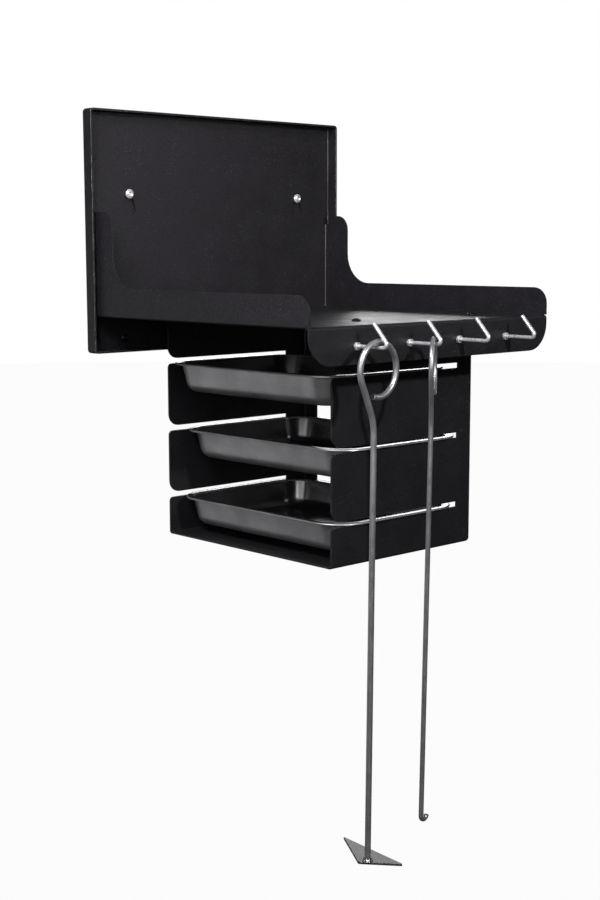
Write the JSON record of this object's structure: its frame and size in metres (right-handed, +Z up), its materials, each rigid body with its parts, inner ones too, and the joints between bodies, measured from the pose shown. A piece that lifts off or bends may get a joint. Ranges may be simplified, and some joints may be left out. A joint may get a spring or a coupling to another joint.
{
  "type": "wall-hung salon tool station",
  "caption": "Folded steel wall shelf with raised cheeks, hung by keyholes on a shallow panel, with a rack of sliding trays below and wire hooks holding long ring-handled tools.",
  "frame": {"origin": "middle of the wall panel's back face, where it meets the wall", "axes": "+X to the right along the wall seen from the front, +Y into the wall, +Z up; the front of the shelf is toward -Y"},
  "size_m": [0.364, 0.3937, 0.7436],
  "materials": {
    "powder_coat": "fine textured charcoal powder coat",
    "enamel": "smooth glossy black enamel",
    "zinc": "bright zinc plated",
    "black_oxide": "black oxide",
    "raw_steel": "bare drawn steel, satin"
  },
  "bodies": {
    "wall": {"wall_panel": "powder_coat", "hanging_screw_left": "zinc", "hanging_screw_right": "zinc", "wall_screw_left": "black_oxide", "wall_screw_right": "black_oxide"},
    "shelf": {"shelf_body": "powder_coat", "tray_rack": "powder_coat", "rack_screw_front_left": "black_oxide", "rack_screw_rear_left": "black_oxide", "rack_screw_front_right": "black_oxide", "rack_screw_rear_right": "black_oxide", "rack_nut_front_left": "zinc", "rack_nut_rear_left": "zinc", "rack_nut_front_right": "zinc", "rack_nut_rear_right": "zinc", "wire_hook_1": "zinc", "wire_hook_2": "zinc", "wire_hook_3": "zinc", "wire_hook_4": "zinc", "hook_nut_outer_1": "zinc", "hook_nut_inner_1": "zinc", "hook_nut_outer_2": "zinc", "hook_nut_inner_2": "zinc", "hook_nut_outer_3": "zinc", "hook_nut_inner_3": "zinc", "hook_nut_outer_4": "zinc", "hook_nut_inner_4": "zinc"},
    "upper_tray": {"upper_tray": "enamel"},
    "middle_tray": {"middle_tray": "enamel"},
    "lower_tray": {"lower_tray": "enamel"},
    "scraper": {"scraper_rod": "raw_steel", "scraper_blade": "raw_steel"},
    "poker": {"poker_rod": "raw_steel"}
  },
  "joints": [
    {"name": "shelf_lift", "type": "slide", "parent": "wall", "child": "shelf", "axis": [0, 0, 1], "range_m": [0, 0.016]},
    {"name": "upper_tray_slide", "type": "slide", "parent": "shelf", "child": "upper_tray", "axis": [-1, 0, 0], "range_m": [-0.019, 0.131]},
    {"name": "middle_tray_slide", "type": "slide", "parent": "shelf", "child": "middle_tray", "axis": [-1, 0, 0], "range_m": [0, 0.15]},
    {"name": "lower_tray_slide", "type": "slide", "parent": "shelf", "child": "lower_tray", "axis": [-1, 0, 0], "range_m": [-0.005, 0.145]},
    {"name": "scraper_swing", "type": "hinge", "parent": "shelf", "child": "scraper", "pos_m": [-0.115, -0.373, -0.1085], "axis": [0, 1, 0], "range_deg": [-2.5, 20]},
    {"name": "poker_swing", "type": "hinge", "parent": "shelf", "child": "poker", "pos_m": [-0.0417, -0.3755, -0.1085], "axis": [0, 1, 0], "range_deg": [-20, 2.5]}
  ]
}
